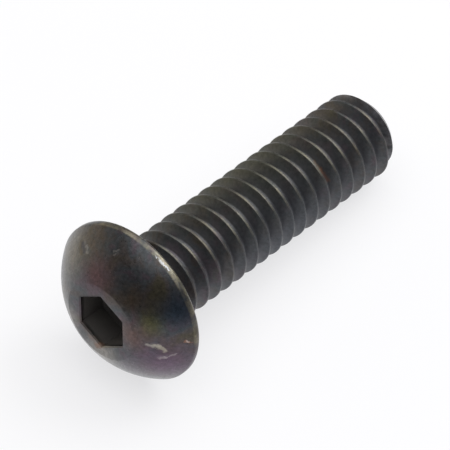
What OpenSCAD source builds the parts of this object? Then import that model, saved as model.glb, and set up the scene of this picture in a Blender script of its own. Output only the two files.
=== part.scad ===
// Button-head socket cap screw, threaded to the head, lying at rest on its side.
// Sizes are in millimetres. The screw is made upright on its own axis, with the
// head below the bearing face at z = 0 and the point above it, and then laid down
// on the head's rim and the last full thread.

/* [Head] */
// diameter of the head over its rim
head_d = 7.58; // [6.8:0.02:8.4]
// height of the head over its bearing face
head_h = 2.03; // [1.8:0.01:2.4]
// diameter of the flat ring round the socket
crown_d = 3.7; // [3.2:0.05:4.2]
// height of the upright side of the rim
rim_h = 0.3; // [0.2:0.02:0.5]
// rounding of the rim's edge at the bearing face
rim_round = 0.12; // [0.05:0.01:0.18]

/* [Socket] */
// width of the hexagon across its flats
socket_af = 2.38; // [1.8:0.02:2.6]
// depth of the hexagon's upright walls
socket_depth = 1.35; // [1.1:0.05:1.5]
// width of the broken edge round the socket's mouth
socket_edge = 0.06; // [0.02:0.01:0.12]
// included angle of the cone in the socket's floor
socket_floor_angle = 136; // [120:1:150]
// turn of the hexagon about the screw's axis
socket_turn = 54; // [0:1:60]

/* [Thread] */
// diameter over the thread's crests
thread_d = 4.05; // [3.6:0.05:4.5]
// advance of the right-hand thread in one turn
thread_pitch = 0.794; // [0.7:0.002:1]
// angle between the two flanks of the thread
thread_angle = 60; // [55:1:62]
// turn of the thread about the screw's axis
thread_turn = 195; // [0:5:355]
// length from the bearing face to the end of the point
screw_l = 15.3; // [8:0.1:25]
// diameter of the flat at the end of the point
point_d = 3.1; // [2.4:0.05:3.4]
// angle between the point's chamfer and the axis
point_angle = 45; // [35:1:60]

/* [Neck] */
// length of the plain neck under the head
neck_l = 0.5; // [0.4:0.05:1.2]
// length over which the crests fade into the neck
runout_l = 0.8; // [0.4:0.05:1.6]
// width of the fillet that stands clear of the thread at the bearing face
fillet_clear = 0.05; // [0.03:0.01:0.3]

/* [Hidden] */
$fn = 96;
// facets in one turn of the thread
turn_steps = 36;
// turn of the head's seam, so that a flat of the meshed rim lies below and not a corner
seam_turn = 3;
// overlap that joins the solids of the one piece
sink = 0.05;
head_r = head_d / 2;
crown_r = crown_d / 2;
socket_r = socket_af / 2 / cos(30);
thread_r = thread_d / 2;
point_r = point_d / 2;
// unified thread form: sharp height, depth to the root, widths of crest and flank
thread_h = thread_pitch / 2 / tan(thread_angle / 2);
thread_depth = thread_h * 17 / 24;
crest_w = thread_pitch / 8;
flank_w = thread_depth * tan(thread_angle / 2);
root_r = thread_r - thread_depth;
// the neck keeps the rolled blank's size, which is the thread's pitch diameter
neck_r = thread_r - thread_h * 3 / 8;
fillet_r = thread_r + fillet_clear - neck_r;
// the dome is a sphere through the crown's edge and the rim's upper edge
dome_drop = (head_r * head_r - crown_r * crown_r + rim_h * rim_h - head_h * head_h)
    / (2 * (head_h - rim_h));
dome_r = norm([head_r, rim_h + dome_drop]);
// where the chamfer of the point starts on the crests
chamfer_z = screw_l - (thread_r - point_r) / tan(point_angle);
// at rest the rim's rounding and the last full crest meet the same plane
rest_rise = head_r - rim_round - thread_r;
rest_run = chamfer_z + rim_round;
rest_tilt = atan2(rest_rise, rest_run) + asin(rim_round / norm([rest_rise, rest_run]));
rest_z = (head_r - rim_round) * cos(rest_tilt) + rim_round * (1 - sin(rest_tilt));
rest_x = ((screw_l - head_h) * cos(rest_tilt) + (point_r - crown_r) * sin(rest_tilt)) / 2;

// half section of the head: dome, crown, upright rim and its rounded edge
module head_section() {
    intersection() {
        translate([0, dome_drop])
            circle(dome_r);
        union() {
            translate([0, -head_h])
                square([head_r, head_h - rim_round]);
            translate([0, -head_h])
                square([head_r - rim_round, head_h]);
            translate([head_r - rim_round, -rim_round])
                circle(rim_round);
        }
    }
}

// half section of the neck, with the fillet at the bearing face
module neck_section() {
    translate([0, -sink])
        square([neck_r, neck_l + sink]);
    polygon([
        [0, neck_l],
        [neck_r, neck_l],
        [root_r - sink, neck_l + neck_r - root_r + sink],
        [0, neck_l + neck_r - root_r + sink]
    ]);
    difference() {
        translate([neck_r - sink, -sink])
            square([fillet_r + sink, fillet_r + sink]);
        translate([neck_r + fillet_r, fillet_r])
            circle(fillet_r);
    }
}

// half section that trims the thread: run-out at the neck, chamfer at the point
module thread_limits() {
    polygon([
        [0, neck_l / 2],
        [neck_r - sink, neck_l / 2],
        [neck_r - sink, neck_l],
        [thread_r + sink, neck_l + runout_l],
        [thread_r + sink, chamfer_z - sink / tan(point_angle)],
        [point_r, screw_l],
        [0, screw_l]
    ]);
}

// solid with an endless helical thread, running past both ends of the shank
module thread_form() {
    first = -2 * turn_steps;
    last = (ceil(screw_l / thread_pitch) + 1) * turn_steps;
    rows = last - first;
    form = [
        [-crest_w / 2, thread_r],
        [crest_w / 2, thread_r],
        [crest_w / 2 + flank_w, root_r],
        [thread_pitch - crest_w / 2 - flank_w, root_r]
    ];
    // each line of the form winds once round the axis in turn_steps points
    points = [
        for (i = [0 : rows + turn_steps], j = [0 : 3])
            let (a = thread_turn + 360 * (first + i) / turn_steps)
            let (z = thread_pitch * (first + i) / turn_steps)
            [form[j][1] * cos(a), form[j][1] * sin(a), z + form[j][0]]
    ];
    function at(i, j) = j < 4 ? 4 * i + j : 4 * (i + turn_steps);
    low = len(points);
    high = low + 1;
    walls = [
        for (i = [0 : rows - 1], j = [0 : 3], half = [0, 1])
            half == 0 ? [at(i, j), at(i, j + 1), at(i + 1, j)]
            : [at(i + 1, j), at(i, j + 1), at(i + 1, j + 1)]
    ];
    low_end = [
        for (i = [0 : turn_steps - 1])
            [low, at(i, 0), at(i + 1, 0)]
    ];
    low_step = [
        for (j = [0 : 3])
            [low, at(0, j + 1), at(0, j)]
    ];
    high_end = [
        for (i = [0 : turn_steps - 1])
            [high, at(rows + i + 1, 0), at(rows + i, 0)]
    ];
    high_step = [
        for (j = [0 : 3])
            [high, at(rows, j), at(rows, j + 1)]
    ];
    polyhedron(
        concat(points, [
            [0, 0, thread_pitch * first / turn_steps],
            [0, 0, thread_pitch * (last / turn_steps + 1)]
        ]),
        concat(walls, low_end, low_step, high_end, high_step)
    );
}

// hexagon socket with its broken edge and the cone in its floor
module socket() {
    floor_z = socket_depth - head_h;
    rotate(socket_turn) {
        translate([0, 0, -head_h - sink])
            cylinder(r = socket_r, h = socket_depth + sink, $fn = 6);
        translate([0, 0, -head_h - socket_edge])
            cylinder(
                r1 = socket_r + 2 * socket_edge,
                r2 = socket_r,
                h = 2 * socket_edge,
                $fn = 6
            );
    }
    translate([0, 0, floor_z - sink])
        cylinder(
            r1 = socket_af / 2,
            r2 = 0,
            h = socket_af / 2 / tan(socket_floor_angle / 2) + sink
        );
}

// the whole screw, laid down at rest
module cap_screw() {
    color("#2e2d2f")
        translate([-rest_x, 0, rest_z])
            rotate([0, 90 + rest_tilt, 0])
                difference() {
                    union() {
                        rotate(seam_turn)
                            rotate_extrude()
                                head_section();
                        rotate_extrude()
                            neck_section();
                        intersection() {
                            thread_form();
                            rotate_extrude()
                                thread_limits();
                        }
                    }
                    socket();
                }
}

cap_screw();
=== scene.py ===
# %% [markdown]
# # A button-head cap screw of black-oxide steel
# A cap screw starts as a piece of steel wire. A header forges the domed head and punches
# the hexagon socket, and two dies roll the thread into the shank. A hot salt bath then turns
# the surface black. This lesson makes the screw in the same order: a turned blank, a rolled
# thread, a punched socket, and last the black finish with its wear.
#
# The imported CAD part comes first. It fixes where the screw lies and how big it is, and it is
# never moved.

import math

import bpy
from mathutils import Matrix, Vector
from mathutils.geometry import intersect_point_line


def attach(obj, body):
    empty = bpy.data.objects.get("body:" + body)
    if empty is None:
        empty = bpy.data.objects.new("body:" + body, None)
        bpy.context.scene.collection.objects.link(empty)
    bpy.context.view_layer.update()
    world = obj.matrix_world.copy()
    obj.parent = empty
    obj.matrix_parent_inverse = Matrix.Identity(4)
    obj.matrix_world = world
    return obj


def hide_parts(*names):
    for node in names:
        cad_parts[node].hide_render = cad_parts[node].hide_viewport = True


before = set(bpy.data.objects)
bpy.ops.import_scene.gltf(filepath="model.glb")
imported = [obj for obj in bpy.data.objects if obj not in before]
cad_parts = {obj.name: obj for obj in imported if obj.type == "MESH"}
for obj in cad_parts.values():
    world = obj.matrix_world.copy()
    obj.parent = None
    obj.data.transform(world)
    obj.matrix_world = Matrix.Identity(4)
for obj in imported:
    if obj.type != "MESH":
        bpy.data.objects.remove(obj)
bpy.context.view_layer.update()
bpy.context.scene.view_settings.view_transform = "Standard"

# %% [markdown]
# ## The sizes
# Small parts are easier to think about in millimetres, and Blender's operators also work
# better on numbers near one than on numbers near a thousandth. So the screw is modelled
# upright at the origin with one unit for a millimetre, and scaled and laid down at the end.
# Its bearing face, the flat ring under the head, is at z = 0, and the point is above it.
# The sizes below are those of the part's source, and the rest follows from them: the form of
# the 60 degree thread, the sphere of the dome, and the tilt at which the rim of the head and
# the last full thread touch the table together.

# %% Sizes in millimetres
HEAD_R, HEAD_H, CROWN_R, RIM_H, RIM_ROUND = 3.79, 2.03, 1.85, 0.3, 0.12
SOCKET_FLAT, SOCKET_DEPTH, SOCKET_EDGE, SOCKET_TURN = 2.38, 1.35, 0.06, 54
SOCKET_FLOOR_ANGLE = 136
THREAD_R, PITCH, THREAD_TURN, LENGTH, POINT_R = 2.025, 0.794, 195, 15.3, 1.55
NECK_L, RUNOUT_L, FILLET_CLEAR, SINK = 0.5, 0.8, 0.05, 0.05

flank_slope = math.tan(math.radians(30))
sharp_height = PITCH / 2 / flank_slope
root_r = THREAD_R - sharp_height * 17 / 24
crest_width = PITCH / 8
flank_width = (THREAD_R - root_r) * flank_slope
neck_r = THREAD_R - sharp_height * 3 / 8
fillet_r = THREAD_R + FILLET_CLEAR - neck_r
print(f"thread: root radius {root_r:.3f}, neck radius {neck_r:.3f}")

dome_z = (HEAD_R**2 - CROWN_R**2 + RIM_H**2 - HEAD_H**2) / (2 * (HEAD_H - RIM_H))
dome_r = math.hypot(HEAD_R, RIM_H + dome_z)
chamfer_z = LENGTH - (THREAD_R - POINT_R)
rise, run = HEAD_R - RIM_ROUND - THREAD_R, chamfer_z + RIM_ROUND
tilt = math.atan2(rise, run) + math.asin(RIM_ROUND / math.hypot(rise, run))
rest_z = (HEAD_R - RIM_ROUND) * math.cos(tilt) + RIM_ROUND * (1 - math.sin(tilt))
rest_x = ((LENGTH - HEAD_H) * math.cos(tilt) + (POINT_R - CROWN_R) * math.sin(tilt)) / 2
print(f"dome radius {dome_r:.3f}, tilt at rest {math.degrees(tilt):.2f} degrees")

# %% [markdown]
# ## The camera
# The photograph looks down on the screw from the side of its head, with the point farther
# away. It was taken from about nine times the screw's length, because the far end looks hardly
# smaller than the near one, so the lens is a long one. The turn and height of the camera, and
# where the middle of the screw falls in the square picture, were measured on the outline. The
# camera stands where those four numbers put it, and its lens isn't shifted.

# %% Camera
AZIMUTH, ELEVATION = math.radians(-48.22), math.radians(49.0)
IMAGE, FOCAL_PX, PX_PER_M = 450, 3833.5, 23121.0
SEEN_AT, AIM = (236.7, 218.1), Vector((0, 0, 0.0033))

back = Vector((
    math.sin(AZIMUTH) * math.cos(ELEVATION),
    -math.cos(AZIMUTH) * math.cos(ELEVATION),
    math.sin(ELEVATION),
))
right = Vector((math.cos(AZIMUTH), math.sin(AZIMUTH), 0))
up = back.cross(right)
distance = FOCAL_PX / PX_PER_M
aside = (SEEN_AT[0] - IMAGE / 2) / FOCAL_PX * distance
below = (SEEN_AT[1] - IMAGE / 2) / FOCAL_PX * distance
bpy.ops.object.camera_add(location=AIM + back * distance - right * aside + up * below)
camera = bpy.context.object
camera.name = "camera"
camera.rotation_euler = (math.pi / 2 - ELEVATION, 0, AZIMUTH)
camera.data.lens = FOCAL_PX * camera.data.sensor_width / IMAGE
camera.data.clip_start = 0.005
bpy.context.scene.camera = camera
print(f"camera {1000 * distance:.1f} mm away, lens {camera.data.lens:.0f} mm")

# %% [markdown]
# ## One function for nodes
# Every material below, and the world, is a small graph of nodes. Adding one by hand takes the
# same three steps each time: pick the kind, set its options, fill or link its inputs. One
# function does the three. Colours are written as sRGB hex values, the numbers that a paint
# program shows, and another function turns them to the linear values that Blender wants.

# %% Node and colour helpers
SOFT = {"interpolation_type": "SMOOTHSTEP"}
COLOURS = {"data_type": "RGBA"}


def node(tree, kind, settings={}, inputs={}):
    made = tree.nodes.new(kind)
    for name, value in settings.items():
        setattr(made, name, value)
    for socket, value in inputs.items():
        if isinstance(value, bpy.types.NodeSocket):
            tree.links.new(value, made.inputs[socket])
        else:
            made.inputs[socket].default_value = value
    return made


def linear(code):
    parts = [int(code[i:i + 2], 16) / 255 for i in (1, 3, 5)]
    return (*[p / 12.92 if p <= 0.04045 else ((p + 0.055) / 1.055) ** 2.4 for p in parts], 1)


def new_material(name):
    made = bpy.data.materials.new(name)
    made.use_nodes = True
    made.node_tree.nodes.clear()
    return made, made.node_tree


print("white is", linear("#ffffff"), "and mid grey is", [round(n, 3) for n in linear("#808080")])

# %% [markdown]
# ## The table
# The screw lies on a plain white table. A single big plane is enough, because the camera looks
# down so steeply that it sees nothing else. The table is matt white laminate, which scatters
# nearly all the light that falls on it, so the screw's soft shadow shows on it.
#
# The screw itself mirrors the table. On the real one that mirror image is white right up to
# where the two touch, and it fades a few centimetres away, less so on the left. So the table
# shows itself as a pool of plain white to mirrored rays, which the Light Path node tells apart.
# To the camera it is mostly that white and partly the lit table, which keeps the shadow but
# makes it faint.

# %% Table top
TABLE_SIZE = 1.2
bpy.ops.object.select_all(action="DESELECT")
bpy.ops.mesh.primitive_plane_add(size=TABLE_SIZE, location=(0, 0, 0))
floor = bpy.context.object
floor.name = "floor"
white_laminate, tree = new_material("white_laminate")
lit = node(tree, "ShaderNodeBsdfPrincipled", {}, {
    "Base Color": linear("#fbfbfb"), "Roughness": 0.9, "Specular IOR Level": 0.1,
})
print("table top", [round(n, 2) for n in floor.dimensions], "m")

# %% White for the mirror image and the camera
# metres to where the pool starts and stops fading, and of its middle to the left
POOL_START, POOL_END, POOL_LEFT = 0.03, 0.09, 0.025
FAR_WHITE, SHOWN_WHITE = 0.4, 0.7
place = node(tree, "ShaderNodeTexCoord")
path = node(tree, "ShaderNodeLightPath")
far = node(tree, "ShaderNodeVectorMath", {"operation": "DISTANCE"}, {
    0: place.outputs["Object"], 1: right * -POOL_LEFT,
})
pool = node(tree, "ShaderNodeMapRange", SOFT, {
    "Value": far.outputs["Value"], "From Min": POOL_START, "From Max": POOL_END,
    "To Min": 1.0, "To Max": FAR_WHITE,
})
strength = node(tree, "ShaderNodeMath", {"operation": "MAXIMUM"}, {
    0: pool.outputs[0], 1: path.outputs["Is Camera Ray"],
})
mirrored = node(tree, "ShaderNodeMath", {"operation": "MAXIMUM"}, {
    0: path.outputs["Is Glossy Ray"], 1: path.outputs["Is Transmission Ray"],
})
share = node(tree, "ShaderNodeMath", {"operation": "MULTIPLY_ADD"}, {
    0: path.outputs["Is Camera Ray"], 1: SHOWN_WHITE, 2: mirrored.outputs[0],
})
plain = node(tree, "ShaderNodeEmission", {}, {
    "Color": linear("#fdfdff"), "Strength": strength.outputs[0],
})
table_top = node(tree, "ShaderNodeMixShader", {}, {
    0: share.outputs[0], 1: lit.outputs[0], 2: plain.outputs[0],
})
node(tree, "ShaderNodeOutputMaterial", {}, {"Surface": table_top.outputs[0]})
floor.data.materials.append(white_laminate)
print("table material:", len(tree.nodes), "nodes")

# %% [markdown]
# ## The room
# A black, shiny thing shows little but what it mirrors, so the room matters more than any
# lamp. The dome tells what the room was like. Its lower side mirrors a white table, its left
# side mirrors a pale wall that dims upwards, and its middle mirrors a dim room in front of the
# camera. One direction in the world is enough for that: the more a ray points to the foot of
# the pale wall, the brighter and the warmer it is.

# %% World
overhead = Vector((0, 0, 1))
away = Vector((-back.x, -back.y, 0)).normalized()
pale_wall = away * 0.35 - right * 0.92 - overhead * 0.42
DIM, PALE = 0.17, 1.1
WALL_START, WALL_END = 0.28, 1.05

world = bpy.data.worlds.new("studio")
bpy.context.scene.world = world
world.use_nodes = True
tree = world.node_tree
tree.nodes.clear()
place = node(tree, "ShaderNodeTexCoord")
facing = node(tree, "ShaderNodeVectorMath", {"operation": "DOT_PRODUCT"}, {
    0: place.outputs["Generated"], 1: pale_wall,
})
bright = node(tree, "ShaderNodeMapRange", SOFT, {
    "Value": facing.outputs["Value"], "From Min": WALL_START, "From Max": WALL_END,
    "To Min": DIM, "To Max": PALE,
})
tone = node(tree, "ShaderNodeMix", COLOURS, {
    0: bright.outputs[0], 6: linear("#f3f5ff"), 7: linear("#fff3dd"),
})
sky = node(tree, "ShaderNodeBackground", {}, {
    "Color": tone.outputs[2], "Strength": bright.outputs[0],
})
node(tree, "ShaderNodeOutputWorld", {}, {"Surface": sky.outputs[0]})
print("room from", DIM, "in front to", PALE, "at the pale wall")

# %% [markdown]
# ## The lamps
# Two lamps finish the light. A wide soft box overhead lights the table evenly, with hardly any
# shadow. A smaller one, to the right and behind, is what the crests of the thread mirror: each
# crest shows it as a short bright line where it faces halfway between that lamp and the camera,
# and the rim of the head shows it as a glint. Both are round and hang on a line from the screw.

# %% Soft box and small lamp
def hang_lamp(name, side, far_off, size, energy):
    bpy.ops.object.select_all(action="DESELECT")
    side = side.normalized()
    bpy.ops.object.light_add(type="AREA", location=AIM + side * far_off)
    made = bpy.context.object
    made.name = name
    made.rotation_euler = side.to_track_quat("Z", "Y").to_euler()
    made.data.shape, made.data.size, made.data.energy = "DISK", size, energy
    print(f"{name}: {size:.2f} m wide, {far_off:.2f} m away")


soft_side = right * 0.18 + away * 0.10 + overhead * 0.98
small_side = right * 0.59 + away * 0.29 + overhead * 0.75
hang_lamp("soft_box", soft_side, far_off=0.35, size=0.72, energy=1.8)
hang_lamp("small_lamp", small_side, far_off=0.35, size=0.22, energy=0.3)

# %% [markdown]
# ## Drawing a profile
# Turned and rolled parts come from a profile. It is drawn here as by hand: a plane is merged
# to one point, the point is moved to the first corner, and it is extruded from corner to
# corner. Points on an arc are worked out from its centre, radius and angles. Spinning the
# profile round the axis then gives a turned solid, as on a lathe.

# %% Profile helpers
def draw_profile(name, corners):
    bpy.ops.object.select_all(action="DESELECT")
    bpy.ops.mesh.primitive_plane_add(size=1)
    piece = bpy.context.object
    piece.name = piece.data.name = name
    bpy.ops.object.mode_set(mode="EDIT")
    bpy.ops.mesh.select_all(action="SELECT")
    bpy.ops.mesh.merge(type="CENTER")
    here = Vector((0, 0, 0))
    for number, (r, z) in enumerate(corners):
        step = Vector((r, 0, z)) - here
        if number == 0:
            bpy.ops.transform.translate(value=step)
        else:
            bpy.ops.mesh.extrude_region_move(TRANSFORM_OT_translate={"value": step})
        here += step
    bpy.ops.object.mode_set(mode="OBJECT")
    print(name, "profile:", len(piece.data.vertices), "points")
    return piece


def arc(r, z, radius, start, end, steps):
    turns = [math.radians(start + (end - start) * i / steps) for i in range(steps + 1)]
    return [(r + radius * math.cos(a), z + radius * math.sin(a)) for a in turns]


# %% Lathe
MERGE = 0.0002


def turn_solid(name, corners, steps):
    piece = draw_profile(name, corners)
    bpy.ops.object.mode_set(mode="EDIT")
    bpy.ops.mesh.select_all(action="SELECT")
    bpy.ops.mesh.spin(steps=steps, angle=math.tau, center=(0, 0, 0), axis=(0, 0, 1))
    bpy.ops.mesh.select_all(action="SELECT")
    bpy.ops.mesh.remove_doubles(threshold=MERGE)
    bpy.ops.mesh.normals_make_consistent(inside=False)
    bpy.ops.object.mode_set(mode="OBJECT")
    print(name, "turned:", len(piece.data.polygons), "faces")
    return piece


# %% [markdown]
# ## The forged blank
# The head is a slice of a sphere with a flat crown and a low upright rim. The rim's lower edge
# is rounded, and a fillet leads from the bearing face to the neck, so that the head doesn't
# tear off. A sphere and a few cylinders could be joined for this, but one profile gives all of
# it with smooth curves and no seams.

# %% Head and neck
DOME_STEPS, RIM_STEPS, FILLET_STEPS, TURN_STEPS = 44, 6, 8, 220
dome_start = math.degrees(math.atan2(-HEAD_H - dome_z, CROWN_R))
dome_end = math.degrees(math.atan2(-RIM_H - dome_z, HEAD_R))
blank = turn_solid("blank", [
    (0, -HEAD_H),
    *arc(0, dome_z, dome_r, dome_start, dome_end, DOME_STEPS),
    *arc(HEAD_R - RIM_ROUND, -RIM_ROUND, RIM_ROUND, 0, 90, RIM_STEPS),
    *arc(neck_r + fillet_r, fillet_r, fillet_r, 270, 180, FILLET_STEPS),
    (neck_r, NECK_L),
    (root_r - SINK, NECK_L + neck_r - root_r + SINK),
    (0, NECK_L + neck_r - root_r + SINK),
], TURN_STEPS)

# %% [markdown]
# ## Scratches and nicks, and some painted light and shade
# A few marks tell that this screw was used: two pale scratches and a nick low on the dome, a
# dent and two faint strokes higher up, and some stains that have no depth: rust and oil at the
# socket and rust on the thread. Other marks are painted light and shade: the dent is painted
# dark as shade, with a pale stroke beside it as a painted highlight, a dark band along the upper
# edge of the socket's mouth is painted shade, and a pale glint on the rim is a painted
# highlight, followed along the rim's lower edge by olive steel that is wear and partly painted
# highlight.
# Each is a short line in the screw's own millimetres, with a reach, a depth, and a colour that
# the finish will need later.
# Grooves could be cut with a Boolean, but that leaves slivers in the dome. Its mesh is fine
# enough to push the points near the line in by hundredths of a millimetre, in two steps, so
# that the sides of the groove slope.

# %% Marks on the screw, some of them painted light and shade
# start, end, reach, depth, share of the colour, colour
MARKS_AND_PAINTED_LIGHT = [
    ((-0.18, -2.37, -1.74), (-0.20, -2.58, -1.59), 0.13, 0.012, 0.55, "#b0a9a2"),
    ((-0.20, -2.58, -1.59), (-0.14, -2.76, -1.47), 0.17, 0.018, 0.70, "#b3ad9f"),
    ((-0.14, -2.76, -1.47), (0.07, -2.99, -1.27), 0.14, 0.018, 0.70, "#aea696"),
    ((0.54, -2.80, -1.39), (0.49, -2.96, -1.26), 0.12, 0.014, 0.50, "#a89ca0"),
    ((0.49, -2.96, -1.26), (0.28, -3.26, -0.98), 0.08, 0.012, 0.50, "#a89ca0"),
    ((-0.43, -3.48, -0.70), (-0.39, -3.66, -0.46), 0.10, 0, 0.55, "#96684a"),
    ((-0.43, -3.56, -0.61), (-0.42, -3.60, -0.56), 0.10, 0.014, 0.80, "#cdbab2"),
    # a dent, painted dark: painted shade in it
    ((-2.40, 2.18, -1.02), (-2.34, 1.90, -1.25), 0.20, 0.02, 0.60, "#24222e"),
    # a pale stroke beside the dent: a painted highlight on its edge
    ((-2.55, 1.88, -1.10), (-2.44, 1.64, -1.30), 0.09, 0.01, 0.40, "#8f8b87"),
    ((-3.18, 0.44, -1.05), (-3.35, 0.26, -0.89), 0.06, 0.01, 0.35, "#8f8a85"),
    ((-3.14, 0.32, -1.11), (-3.26, 0.21, -1.00), 0.06, 0.01, 0.30, "#8f8a85"),
    ((0.69, 1.24, -1.98), (1.24, 0.51, -1.98), 0.22, 0, 0.40, "#665850"),
    ((1.24, 0.51, -1.98), (1.43, 0.03, -1.98), 0.22, 0, 0.40, "#755f52"),
    ((1.48, 0.10, -2.02), (1.36, -0.15, -1.85), 0.22, 0, 0.50, "#7d563c"),
    # a pale glint on the rim: a painted highlight of the small lamp
    ((-3.58, -1.26, -0.27), (-3.25, -1.95, -0.26), 0.07, 0, 0.75, "#e2e6ea"),
    # olive steel along the rim's lower edge: wear, and partly a painted highlight
    ((-3.05, -2.25, -0.12), (-2.25, -3.05, -0.10), 0.12, 0, 0.35, "#8d8a6c"),
    # a dark band along the upper edge of the socket's mouth: painted shade
    ((-0.62, 1.22, -2.03), (-1.32, 0.22, -2.03), 0.20, 0, 0.60, "#2a2526"),
    ((-1.36, -0.70, 10.80), (-1.11, -1.06, 10.83), 0.17, 0, 0.50, "#6f5a40"),
    ((-1.11, -1.06, 10.83), (-0.75, -1.42, 10.93), 0.18, 0, 0.55, "#7b5642"),
]
print("marks:", len(MARKS_AND_PAINTED_LIGHT), "of which", sum(mark[3] > 0 for mark in MARKS_AND_PAINTED_LIGHT), "have depth")

# %% Press the grooves into the dome
FLOOR_SHARE = 0.6


def press_groove(piece, start, end, reach, depth):
    bpy.ops.object.mode_set(mode="EDIT")
    bpy.ops.mesh.select_mode(type="VERT")
    bpy.ops.mesh.select_all(action="DESELECT")
    bpy.ops.object.mode_set(mode="OBJECT")
    for point in piece.data.vertices:
        share = intersect_point_line(point.co, start, end)[1]
        nearest = Vector(start).lerp(Vector(end), min(1, max(0, share)))
        point.select = (point.co - nearest).length < reach
    moved = sum(point.select for point in piece.data.vertices)
    bpy.ops.object.mode_set(mode="EDIT")
    bpy.ops.transform.shrink_fatten(value=-depth)
    bpy.ops.object.mode_set(mode="OBJECT")
    return moved


for start, end, reach, depth, _, _ in MARKS_AND_PAINTED_LIGHT:
    if depth > 0:
        wide = press_groove(blank, start, end, reach, depth / 2)
        deep = press_groove(blank, start, end, FLOOR_SHARE * reach, depth / 2)
        print(f"groove of {wide} points, {deep} of them at its full depth of {depth} mm")

# %% [markdown]
# ## The rolled thread
# One tooth of the thread is a crest, two flanks at 60 degrees and a root. The Screw modifier
# sweeps such a profile round the axis while it climbs, which is just what the rolling dies do.
# The corners are rounded first: dies leave no sharp edge, and a rounded edge catches the light
# as a thin line. The tooth starts below the neck and runs past the point, and its two ends are
# closed to a fan, so that the thread is a solid that can be trimmed.

# %% Tooth
TURNS, STEPS = 22, 96
CREST_STEPS, ROOT_STEPS = 4, 3
CREST_ROUND, ROOT_ROUND = 0.04, 0.112
tooth_z = -PITCH * THREAD_TURN / 360 - 2 * PITCH
crest_z = crest_width / 2 - CREST_ROUND * flank_slope
foot_z = crest_width / 2 + flank_width + ROOT_ROUND * flank_slope
thread = draw_profile("thread", [
    (root_r, tooth_z - PITCH / 2),
    *arc(root_r + ROOT_ROUND, tooth_z - foot_z, ROOT_ROUND, 180, 120, ROOT_STEPS),
    *arc(THREAD_R - CREST_ROUND, tooth_z - crest_z, CREST_ROUND, -60, 0, CREST_STEPS),
    *arc(THREAD_R - CREST_ROUND, tooth_z + crest_z, CREST_ROUND, 0, 60, CREST_STEPS),
    *arc(root_r + ROOT_ROUND, tooth_z + foot_z, ROOT_ROUND, 240, 180, ROOT_STEPS),
    (root_r, tooth_z + PITCH / 2),
])

# %% Sweep the tooth along the helix
bpy.ops.object.modifier_add(type="SCREW")
sweep = thread.modifiers[-1]
sweep.axis, sweep.angle, sweep.screw_offset, sweep.iterations = "Z", math.tau, PITCH, TURNS
sweep.steps = sweep.render_steps = STEPS
bpy.ops.object.modifier_apply(modifier=sweep.name)
bpy.ops.object.mode_set(mode="EDIT")
bpy.ops.mesh.select_all(action="SELECT")
bpy.ops.mesh.remove_doubles(threshold=MERGE)
bpy.ops.object.mode_set(mode="OBJECT")
print("helix:", len(thread.data.polygons), "faces in", TURNS, "turns")

# %% Close both ends of the helix
for side in (-1, 1):
    bpy.ops.object.mode_set(mode="EDIT")
    bpy.ops.mesh.select_mode(type="EDGE")
    bpy.ops.mesh.select_all(action="DESELECT")
    bpy.ops.mesh.select_non_manifold(
        use_wire=False, use_multi_face=False, use_non_contiguous=False, use_verts=False,
    )
    bpy.ops.object.mode_set(mode="OBJECT")
    for edge in thread.data.edges:
        middle = sum((thread.data.vertices[i].co.z for i in edge.vertices), 0.0) / 2
        edge.select = edge.select and (middle - LENGTH / 2) * side > 0
    bpy.ops.object.mode_set(mode="EDIT")
    bpy.ops.mesh.extrude_edges_move()
    bpy.ops.mesh.merge(type="CENTER")
    bpy.ops.mesh.select_mode(type="VERT")
    bpy.ops.mesh.select_all(action="SELECT")
    bpy.ops.mesh.normals_make_consistent(inside=False)
    bpy.ops.object.mode_set(mode="OBJECT")
print("thread:", len(thread.data.polygons), "faces with its ends closed")

# %% [markdown]
# ## Trimming and joining
# The crests fade into the neck below the head, and a chamfer at the point lets the screw start
# in a nut. Both are one turned outline, and the thread keeps only what is inside it. Then the
# thread joins the blank. Booleans do both, since a real cutter or die does the same.

# %% Boolean helper
def combine(body, tool, operation):
    bpy.ops.object.select_all(action="DESELECT")
    body.select_set(True)
    bpy.context.view_layer.objects.active = body
    bpy.ops.object.modifier_add(type="BOOLEAN")
    step = body.modifiers[-1]
    step.operation, step.object, step.solver = operation, tool, "MANIFOLD"
    bpy.ops.object.modifier_apply(modifier=step.name)
    bpy.data.objects.remove(tool)
    print(operation.lower(), "leaves", len(body.data.polygons), "faces")


# %% Trim the thread and join it to the blank
CUTTER_STEPS = 160
limits = turn_solid("limits", [
    (0, NECK_L / 2),
    (neck_r - SINK, NECK_L / 2),
    (neck_r - SINK, NECK_L),
    (THREAD_R + SINK, NECK_L + RUNOUT_L),
    (THREAD_R + SINK, chamfer_z - SINK),
    (POINT_R, LENGTH),
    (0, LENGTH),
], CUTTER_STEPS)
combine(thread, limits, "INTERSECT")
combine(blank, thread, "UNION")

# %% [markdown]
# ## The hexagon socket
# A punch presses the socket into the crown: a hexagon with upright walls, a broken edge at its
# mouth and a shallow cone left by the punch's tip. The hexagon could be inset in the crown and
# extruded down, but modelling the punch and taking it away keeps the dome's mesh as it is. The
# punch starts as a circle of six points, is extruded up its walls, and flares at the mouth.

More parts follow.
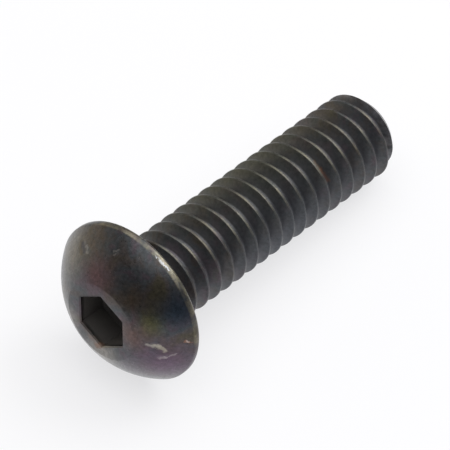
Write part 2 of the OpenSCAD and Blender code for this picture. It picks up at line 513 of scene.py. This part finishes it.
# %% Punch
socket_r = SOCKET_FLAT / 2 / math.cos(math.radians(30))
bpy.ops.object.select_all(action="DESELECT")
bpy.ops.mesh.primitive_circle_add(
    vertices=6, radius=socket_r, fill_type="NGON",
    location=(0, 0, SOCKET_DEPTH - HEAD_H), rotation=(0, 0, math.radians(SOCKET_TURN - 30)),
)
punch = bpy.context.object
punch.name = "punch"
bpy.ops.object.transform_apply(location=True, rotation=True, scale=True)
bpy.ops.object.mode_set(mode="EDIT")
bpy.ops.mesh.select_all(action="SELECT")
for step in (SOCKET_EDGE - SOCKET_DEPTH, -2 * SOCKET_EDGE):
    bpy.ops.mesh.extrude_region_move(TRANSFORM_OT_translate={"value": (0, 0, step)})
flare = (socket_r + 2 * SOCKET_EDGE) / socket_r
bpy.ops.transform.resize(value=(flare, flare, 1), center_override=(0, 0, 0))
bpy.ops.mesh.select_all(action="SELECT")
bpy.ops.mesh.normals_make_consistent(inside=False)
bpy.ops.object.mode_set(mode="OBJECT")
print("punch:", [round(n, 2) for n in punch.dimensions], "mm")

# %% Punch the socket
TIP_STEPS = 64
tip_l = SOCKET_FLAT / 2 / math.tan(math.radians(SOCKET_FLOOR_ANGLE / 2))
tip = turn_solid("punch_tip", [
    (0, SOCKET_DEPTH - HEAD_H - SINK),
    (SOCKET_FLAT / 2, SOCKET_DEPTH - HEAD_H - SINK),
    (SOCKET_FLAT / 2, SOCKET_DEPTH - HEAD_H),
    (0, SOCKET_DEPTH - HEAD_H + tip_l),
], TIP_STEPS)
combine(blank, punch, "DIFFERENCE")
combine(blank, tip, "DIFFERENCE")

# %% [markdown]
# ## Laying the screw down
# The finished blank is scaled to metres, turned on its side and set on the table, and then all
# three are applied, so that the object sits at the origin and its place is in its mesh. The
# Booleans leave some faces with many corners. They are cut into triangles here, so that the
# mesh stays closed when it is exported. Shade Smooth by Angle then keeps the real edges crisp
# and the curved faces smooth.

# %% Place
screw = blank
screw.name = screw.data.name = "screw"
screw.scale = (0.001, 0.001, 0.001)
screw.rotation_euler = (0, math.pi / 2 + tilt, 0)
screw.location = (-rest_x / 1000, 0, rest_z / 1000)
bpy.ops.object.select_all(action="DESELECT")
screw.select_set(True)
bpy.context.view_layer.objects.active = screw
bpy.ops.object.transform_apply(location=True, rotation=True, scale=True)
bpy.ops.object.mode_set(mode="EDIT")
bpy.ops.mesh.select_all(action="SELECT")
bpy.ops.mesh.remove_doubles(threshold=MERGE / 1000)
bpy.ops.object.mode_set(mode="OBJECT")
print("size:", [round(1000 * n, 3) for n in screw.dimensions], "mm")

# %% Cut the many-cornered faces and smooth
EDGE_ANGLE = 32
bpy.ops.object.mode_set(mode="EDIT")
bpy.ops.mesh.select_mode(type="FACE")
bpy.ops.mesh.select_all(action="DESELECT")
bpy.ops.mesh.select_face_by_sides(number=4, type="GREATER")
bpy.ops.mesh.quads_convert_to_tris(quad_method="BEAUTY", ngon_method="BEAUTY")
bpy.ops.mesh.select_all(action="SELECT")
bpy.ops.mesh.normals_make_consistent(inside=False)
bpy.ops.object.mode_set(mode="OBJECT")
bpy.ops.object.shade_smooth_by_angle(angle=math.radians(EDGE_ANGLE))
screw.data.calc_loop_triangles()
print("screw:", len(screw.data.loop_triangles), "triangles")

# %% [markdown]
# ## Finding a place on the screw
# Wear and rust sit at places: on the crests, on the rim, in the socket. The finish therefore
# needs to know where on the screw it is. Object coordinates are in metres and lie with the
# table, and a Mapping node undoes the scale and the turn of the laying down. What comes out is
# the screw's own millimetres: z along the axis from the bearing face, and the radius from it.
# A second, ragged set of coordinates is pushed about by noise, so that no mark has a clean edge.

# %% The screw's own coordinates
black_oxide, tree = new_material("black_oxide_steel")
place = node(tree, "ShaderNodeTexCoord")
own = node(tree, "ShaderNodeMapping", {"vector_type": "TEXTURE"}, {
    "Vector": place.outputs["Object"],
    "Location": (-rest_x / 1000, 0, rest_z / 1000),
    "Rotation": (0, math.pi / 2 + tilt, 0),
    "Scale": (0.001, 0.001, 0.001),
}).outputs[0]
height = node(tree, "ShaderNodeSeparateXYZ", {}, {0: own}).outputs["Z"]
flat = node(tree, "ShaderNodeVectorMath", {"operation": "MULTIPLY"}, {0: own, 1: (1, 1, 0)})
radius = node(tree, "ShaderNodeVectorMath", {"operation": "LENGTH"}, {
    0: flat.outputs[0],
}).outputs["Value"]
print("coordinates start at the bearing face,", round(rest_x, 3), "mm from the middle")

# %% Ragged coordinates
EDGE_GRAIN, EDGE_PUSH = 0.25, 0.35
edge_noise = node(tree, "ShaderNodeTexNoise", {}, {
    "Vector": own, "Scale": 1 / EDGE_GRAIN, "Detail": 3, "Roughness": 0.6,
})
push = node(tree, "ShaderNodeVectorMath", {"operation": "SUBTRACT"}, {
    0: edge_noise.outputs["Color"], 1: (0.5, 0.5, 0.5),
})
ragged = node(tree, "ShaderNodeVectorMath", {"operation": "MULTIPLY_ADD"}, {
    0: push.outputs[0], 1: (EDGE_PUSH, EDGE_PUSH, EDGE_PUSH), 2: own,
}).outputs[0]
print("edges of marks wander over", EDGE_GRAIN, "mm")

# %% [markdown]
# ## The black oxide
# Black oxide is not paint. A hot salt bath turns the steel's own skin to magnetite, less than
# two thousandths of a millimetre thick, and a film of oil is left on it. The eye sees a satin
# charcoal that mirrors like a very dark metal. Where the skin is thinner, or the oil thicker,
# it turns faintly brown, violet, olive or blue. Noise of about the size of those clouds picks
# between them. The clouds that stand out get a place and a reach of their own: violet low on
# the dome and brown beside the socket. Other placed clouds are painted reflections: pale grey
# at the crown's lower edge for the white table, pale warm grey on the dome's upper left for the
# pale wall, and dark blue on the dome's right for the dim room in front. Olive along the top of
# the shank and blue along its side are oxide tints and partly painted reflections of the warm
# wall and the bluish room.

# %% Clouds of colour
CLOUD = 1.5
clouds = node(tree, "ShaderNodeTexNoise", {}, {
    "Vector": own, "Scale": 1 / CLOUD, "Detail": 4, "Roughness": 0.6, "Distortion": 0.4,
})
shades = node(tree, "ShaderNodeValToRGB", {}, {0: clouds.outputs[0]})
stops = shades.color_ramp.elements
stops[0].position, stops[0].color = 0.3, linear("#4e493a")
stops[1].position, stops[1].color = 0.72, linear("#484f44")
for position, code in ((0.42, "#504a48"), (0.52, "#484c4f"), (0.62, "#54484f")):
    stops.new(position).color = linear(code)
colour = shades.outputs[0]
print("clouds of", CLOUD, "mm in", len(stops), "shades")

# %% Clouds with a place of their own, some of them painted reflections
CLOUD_SHARE = 0.9
# centre, reach, colour
PLACED_CLOUDS_AND_REFLECTIONS = [
    ((1.10, -2.95, -1.10), 2.3, "#60495f"), ((-2.10, 0.60, -1.85), 1.4, "#5a434a"),
    ((-1.33, -2.32, -1.53), 0.9, "#575638"), ((-2.00, -1.30, -1.70), 0.9, "#56493a"),
    # the second: dark blue on the dome's right, a painted dark reflection of the dim room
    ((-0.42, -1.66, -2.03), 1.2, "#624d48"), ((-1.83, -3.00, -0.68), 1.3, "#344352"),
    # the first: pale warm grey on the dome's upper left, a painted reflection of the pale wall
    ((-1.80, 2.60, -1.20), 1.8, "#6e6757"), ((1.90, -1.60, -1.60), 1.0, "#5a525c"),
    # olive on the top of the shank and blue on its side: oxide tints, partly painted reflection
    # of the warm wall and the bluish room
    ((-2.50, 2.50, 8.00), 8.0, "#4d4e3d"), ((1.50, -3.50, 8.00), 7.0, "#464b55"),
    # pale grey at the crown's lower edge: a painted reflection of the white table
    ((0.95, 1.75, -2.00), 1.0, "#7d7974"), ((1.70, -0.20, -2.00), 1.3, "#86827c"),
]
for centre, reach, code in PLACED_CLOUDS_AND_REFLECTIONS:
    off = node(tree, "ShaderNodeVectorMath", {"operation": "DISTANCE"}, {0: ragged, 1: centre})
    near = node(tree, "ShaderNodeMapRange", SOFT, {
        "Value": off.outputs["Value"], "From Min": reach, "From Max": 0,
        "To Min": 0, "To Max": CLOUD_SHARE,
    })
    colour = node(tree, "ShaderNodeMix", COLOURS, {
        0: near.outputs[0], 6: colour, 7: linear(code),
    }).outputs[2]
print("clouds with a place:", len(PLACED_CLOUDS_AND_REFLECTIONS))

# %% Speckle, drawn coarser than the bath's real pits, which are too fine to show
# most values of a noise texture lie between the first two numbers
NOISE_LOW, NOISE_HIGH, SPECKLE = 0.3, 0.7, 0.16
DARKEST, LIGHTEST = 0.6, 1.1
speckle = node(tree, "ShaderNodeTexNoise", {}, {
    "Vector": own, "Scale": 1 / SPECKLE, "Detail": 3, "Roughness": 0.6,
})
darker = node(tree, "ShaderNodeMapRange", {}, {
    "Value": speckle.outputs[0], "From Min": NOISE_LOW, "From Max": NOISE_HIGH,
    "To Min": DARKEST, "To Max": LIGHTEST,
})
colour = node(tree, "ShaderNodeVectorMath", {"operation": "SCALE"}, {
    0: colour, "Scale": darker.outputs[0],
}).outputs[0]
print("speckle of", SPECKLE, "mm")

# %% [markdown]
# ## Worn edges, partly painted highlights
# Black oxide is thin, so it goes first where the screw rubs: on the crests of the thread, round
# the rim and at the mouth of the socket. There bare steel shows through, yellowish with oil.
# It could be painted by hand, but the sizes of the screw already say where the edges are.
# Radius finds the crests and the rim. The mouth needs the distance from the hexagon, which is
# the largest of the distances from its three pairs of flats. The wear is strongest on the side
# where the crests and the rim catch the small lamp, so there it is also a painted highlight,
# and noise breaks it up. The chamfer at the point is worn all round, from each time that the
# screw was started in a hole. In the grooves of the thread nothing rubs, and a little grey
# dust stays there instead.

# %% How much is worn, most on the side that catches the small lamp: a painted highlight
PATCH, WEAR_AND_HIGHLIGHT_SIDE = 0.6, math.radians(205)
PATCH_LOW, PATCH_HIGH, LEAST_RUBBED = 0.38, 0.62, 0.1
patches = node(tree, "ShaderNodeTexNoise", {}, {
    "Vector": own, "Scale": 1 / PATCH, "Detail": 3, "Roughness": 0.65,
})
broken = node(tree, "ShaderNodeMapRange", {}, {
    "Value": patches.outputs[0], "From Min": PATCH_LOW, "From Max": PATCH_HIGH,
    "To Min": LEAST_RUBBED, "To Max": 1,
})
# the wear fades away from the side where the crests face the small lamp, which paints their
# highlight
towards = node(tree, "ShaderNodeVectorMath", {"operation": "DOT_PRODUCT"}, {
    0: own, 1: (math.cos(WEAR_AND_HIGHLIGHT_SIDE), math.sin(WEAR_AND_HIGHLIGHT_SIDE), 0),
})
wear_and_painted_highlight = node(tree, "ShaderNodeMapRange", SOFT, {
    "Value": towards.outputs["Value"], "From Min": 0.8 * THREAD_R, "From Max": THREAD_R,
    "To Min": 0.05, "To Max": 1,
})
wear_and_painted_highlight = node(tree, "ShaderNodeMath", {"operation": "MULTIPLY"}, {
    0: broken.outputs[0], 1: wear_and_painted_highlight.outputs[0],
}).outputs[0]
print("rubbed in patches of", PATCH, "mm, most at", round(math.degrees(WEAR_AND_HIGHLIGHT_SIDE)), "degrees")

# %% Distance across the hexagon
across = 0
for side in range(3):
    angle = math.radians(SOCKET_TURN + 30 + 60 * side)
    dot = node(tree, "ShaderNodeVectorMath", {"operation": "DOT_PRODUCT"}, {
        0: own, 1: (math.cos(angle), math.sin(angle), 0),
    })
    flat_to = node(tree, "ShaderNodeMath", {"operation": "ABSOLUTE"}, {0: dot.outputs["Value"]})
    across = node(tree, "ShaderNodeMath", {"operation": "MAXIMUM"}, {
        0: across, 1: flat_to.outputs[0],
    }).outputs[0]
half_flat = SOCKET_FLAT / 2
print("the hexagon's flats are", half_flat, "mm from the axis")

# %% Bare steel on the edges, partly a painted highlight
# measure, where wear starts and is full, second measure, where that starts and is full, most
OILY_STEEL_AND_HIGHLIGHT = linear("#a39b80")
EDGE_WEAR_AND_HIGHLIGHT = [
    # the crests: wear, and a painted highlight where they catch the small lamp
    (radius, THREAD_R - 0.04, THREAD_R - 0.008, height, NECK_L, NECK_L + 0.3, 0.28),
    # the rim: wear, and a painted highlight on the side that catches the small lamp
    (radius, HEAD_R - 0.05, HEAD_R - 0.01, height, 0.1, 0, 0.45),
    (height, -0.15, -0.05, radius, HEAD_R - 0.25, HEAD_R - 0.15, 0.35),
    (across, half_flat + 0.12, half_flat + 0.05, height, 0.15 - HEAD_H, 0.06 - HEAD_H, 0.25),
]
worn = 0
for what, start, full, where, outside, inside, most in EDGE_WEAR_AND_HIGHLIGHT:
    edge = node(tree, "ShaderNodeMapRange", SOFT, {
        "Value": what, "From Min": start, "From Max": full, "To Min": 0, "To Max": most,
    })
    there = node(tree, "ShaderNodeMapRange", SOFT, {
        "Value": where, "From Min": outside, "From Max": inside, "To Min": 0, "To Max": 1,
    })
    on_edge = node(tree, "ShaderNodeMath", {"operation": "MULTIPLY"}, {
        0: edge.outputs[0], 1: there.outputs[0],
    })
    worn = node(tree, "ShaderNodeMath", {"operation": "MAXIMUM"}, {
        0: worn, 1: on_edge.outputs[0],
    }).outputs[0]
# from here on the wear lies mostly on the side facing the small lamp: partly a painted highlight
worn = node(tree, "ShaderNodeMath", {"operation": "MULTIPLY"}, {0: worn, 1: wear_and_painted_highlight}).outputs[0]
colour = node(tree, "ShaderNodeMix", COLOURS, {
    0: worn, 6: colour, 7: OILY_STEEL_AND_HIGHLIGHT,
}).outputs[2]
print("worn edges:", len(EDGE_WEAR_AND_HIGHLIGHT))

# %% The rubbed point
POINT_WORN, BARE_STEEL = 0.45, linear("#a2a1a6")
at_point = node(tree, "ShaderNodeMapRange", SOFT, {
    "Value": height, "From Min": chamfer_z - 0.05, "From Max": chamfer_z + 0.1,
    "To Min": 0, "To Max": POINT_WORN,
})
outer = node(tree, "ShaderNodeMapRange", SOFT, {
    "Value": radius, "From Min": POINT_R - 0.15, "From Max": POINT_R + 0.05,
    "To Min": 0.1, "To Max": 1,
})
at_point = node(tree, "ShaderNodeMath", {"operation": "MULTIPLY"}, {
    0: at_point.outputs[0], 1: outer.outputs[0],
})
at_point = node(tree, "ShaderNodeMath", {"operation": "MULTIPLY"}, {
    0: at_point.outputs[0], 1: broken.outputs[0],
})
colour = node(tree, "ShaderNodeMix", COLOURS, {
    0: at_point.outputs[0], 6: colour, 7: BARE_STEEL,
}).outputs[2]
print("the point is worn from", round(chamfer_z, 2), "mm on")

# %% Dust in the grooves of the thread
GROOVE_DUST, GROOVE_GREY = 0.28, linear("#64646b")
deep = node(tree, "ShaderNodeMapRange", SOFT, {
    "Value": radius, "From Min": root_r + 0.4, "From Max": root_r + 0.1,
    "To Min": 0, "To Max": GROOVE_DUST,
})
on_shank = node(tree, "ShaderNodeMapRange", SOFT, {
    "Value": height, "From Min": 0, "From Max": NECK_L, "To Min": 0, "To Max": 1,
})
before_end = node(tree, "ShaderNodeMath", {"operation": "LESS_THAN"}, {0: height, 1: chamfer_z})
settled = node(tree, "ShaderNodeMath", {"operation": "MULTIPLY"}, {
    0: deep.outputs[0], 1: on_shank.outputs[0],
})
settled = node(tree, "ShaderNodeMath", {"operation": "MULTIPLY"}, {
    0: settled.outputs[0], 1: before_end.outputs[0],
})
colour = node(tree, "ShaderNodeMix", COLOURS, {
    0: settled.outputs[0], 6: colour, 7: GROOVE_GREY,
}).outputs[2]
print("dust in the grooves: a share of", GROOVE_DUST)

# %% [markdown]
# ## The colour of the marks
# The grooves are already in the mesh. Where the oxide is scraped off, the steel in them is pale
# and scatters the light, and the stains are brown with rust. Some marks paint light and shade
# instead: the dark dent and the dark band at the socket's mouth are painted shade, and the pale
# stroke beside the dent and the glint on the rim are painted highlights. The list of marks is
# used again: each colour fades with the distance from its line, in the ragged coordinates. An
# image could be painted for this, but a few lines keep the same sharpness from every side.

# %% Marks in colour
marks_and_painted_light = 0
for start, end, reach, _, most, code in MARKS_AND_PAINTED_LIGHT:
    start, run_to = Vector(start), Vector(end) - Vector(start)
    offset = node(tree, "ShaderNodeVectorMath", {"operation": "SUBTRACT"}, {0: ragged, 1: start})
    along = node(tree, "ShaderNodeVectorMath", {"operation": "DOT_PRODUCT"}, {
        0: offset.outputs[0], 1: run_to / run_to.length_squared,
    })
    held = node(tree, "ShaderNodeClamp", {}, {0: along.outputs["Value"]})
    nearest = node(tree, "ShaderNodeVectorMath", {"operation": "SCALE"}, {
        0: run_to, "Scale": held.outputs[0],
    })
    off = node(tree, "ShaderNodeVectorMath", {"operation": "DISTANCE"}, {
        0: offset.outputs[0], 1: nearest.outputs[0],
    })
    near = node(tree, "ShaderNodeMapRange", SOFT, {
        "Value": off.outputs["Value"], "From Min": reach, "From Max": 0.2 * reach,
        "To Min": 0, "To Max": most,
    })
    colour = node(tree, "ShaderNodeMix", COLOURS, {
        0: near.outputs[0], 6: colour, 7: linear(code),
    }).outputs[2]
    marks_and_painted_light = node(tree, "ShaderNodeMath", {"operation": "MAXIMUM"}, {
        0: marks_and_painted_light, 1: near.outputs[0],
    }).outputs[0]
print("coloured marks:", len(MARKS_AND_PAINTED_LIGHT))

# %% [markdown]
# ## Where it is dull
# The dome is smooth from the forging die, but other places are duller. In the socket, where
# nothing rubs, dried oil and grey dust stay and scatter some of the light that falls in. The
# grooves of the thread hold a little of it too, and so do scratches and rust. One value from
# 0 to 1 says how dull the surface is, and the sheen is then mixed by it.

# %% Dust in the socket
SOCKET_GREY = linear("#565350")
inside_mouth = node(tree, "ShaderNodeMapRange", SOFT, {
    "Value": height, "From Min": 0.06 - HEAD_H, "From Max": 0.3 - HEAD_H,
    "To Min": 0, "To Max": 1,
})
within_flats = node(tree, "ShaderNodeMapRange", SOFT, {
    "Value": across, "From Min": half_flat + 0.06, "From Max": half_flat + 0.02,
    "To Min": 0, "To Max": 1,
})
in_head = node(tree, "ShaderNodeMath", {"operation": "LESS_THAN"}, {0: height, 1: 0.0})
dusty = node(tree, "ShaderNodeMath", {"operation": "MULTIPLY"}, {
    0: inside_mouth.outputs[0], 1: within_flats.outputs[0],
})
dusty = node(tree, "ShaderNodeMath", {"operation": "MULTIPLY"}, {
    0: dusty.outputs[0], 1: in_head.outputs[0],
}).outputs[0]
colour = node(tree, "ShaderNodeMix", COLOURS, {
    0: dusty, 6: colour, 7: SOCKET_GREY,
}).outputs[2]
print("dust from", SOCKET_DEPTH, "mm deep up to the mouth of the socket")

# %% How dull it is
THREAD_DULL = 0.42
rolled = node(tree, "ShaderNodeMapRange", SOFT, {
    "Value": height, "From Min": 0, "From Max": NECK_L, "To Min": 0, "To Max": THREAD_DULL,
})
dull = node(tree, "ShaderNodeMath", {"operation": "MAXIMUM"}, {0: dusty, 1: marks_and_painted_light})
dull = node(tree, "ShaderNodeMath", {"operation": "MAXIMUM"}, {
    0: dull.outputs[0], 1: rolled.outputs[0],
}).outputs[0]
print("dull: 1 in the socket,", THREAD_DULL, "on the thread, 0 on the dome")

# %% [markdown]
# ## The sheen
# The salt bath leaves a fine, slightly uneven grain. On the real screw it is about a hundredth
# of a millimetre, which is too fine to show, so it is drawn coarser here. The grain makes the
# mirror image soft and a little uneven, as roughness and as a faint bump. The film of oil on
# top is a thin clear coat with the refraction of oil, which adds a pale gleam at low angles.

# %% Sheen and surface
GRAIN, RELIEF_SHARE, RELIEF_HEIGHT = 0.11, 0.6, 0.000008
SMOOTHEST, SATIN, DULLEST = 0.26, 0.4, 0.62
METAL, DUST_METAL = 0.88, 0.25
OIL_SHARE, OIL_ROUGHNESS, OIL_IOR = 0.3, 0.3, 1.47
grain = node(tree, "ShaderNodeTexNoise", {}, {
    "Vector": own, "Scale": 1 / GRAIN, "Detail": 2, "Roughness": 0.5,
})
satin = node(tree, "ShaderNodeMapRange", {}, {
    "Value": grain.outputs[0], "From Min": NOISE_LOW, "From Max": NOISE_HIGH,
    "To Min": SMOOTHEST, "To Max": SATIN,
})
rough = node(tree, "ShaderNodeMix", {"data_type": "FLOAT"}, {
    0: dull, 2: satin.outputs[0], 3: DULLEST,
})
metal = node(tree, "ShaderNodeMix", {"data_type": "FLOAT"}, {0: dull, 2: METAL, 3: DUST_METAL})
relief = node(tree, "ShaderNodeBump", {}, {
    "Height": grain.outputs[0], "Strength": RELIEF_SHARE, "Distance": RELIEF_HEIGHT,
})
surface = node(tree, "ShaderNodeBsdfPrincipled", {}, {
    "Base Color": colour, "Metallic": metal.outputs[0], "Roughness": rough.outputs[0],
    "Coat Weight": OIL_SHARE, "Coat Roughness": OIL_ROUGHNESS, "Coat IOR": OIL_IOR,
    "Normal": relief.outputs[0],
})
node(tree, "ShaderNodeOutputMaterial", {}, {"Surface": surface.outputs[0]})
screw.data.materials.clear()
screw.data.materials.append(black_oxide)
print("finish:", len(tree.nodes), "nodes")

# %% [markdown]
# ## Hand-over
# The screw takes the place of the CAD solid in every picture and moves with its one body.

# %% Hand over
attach(screw, "root")
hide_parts("cap_screw")
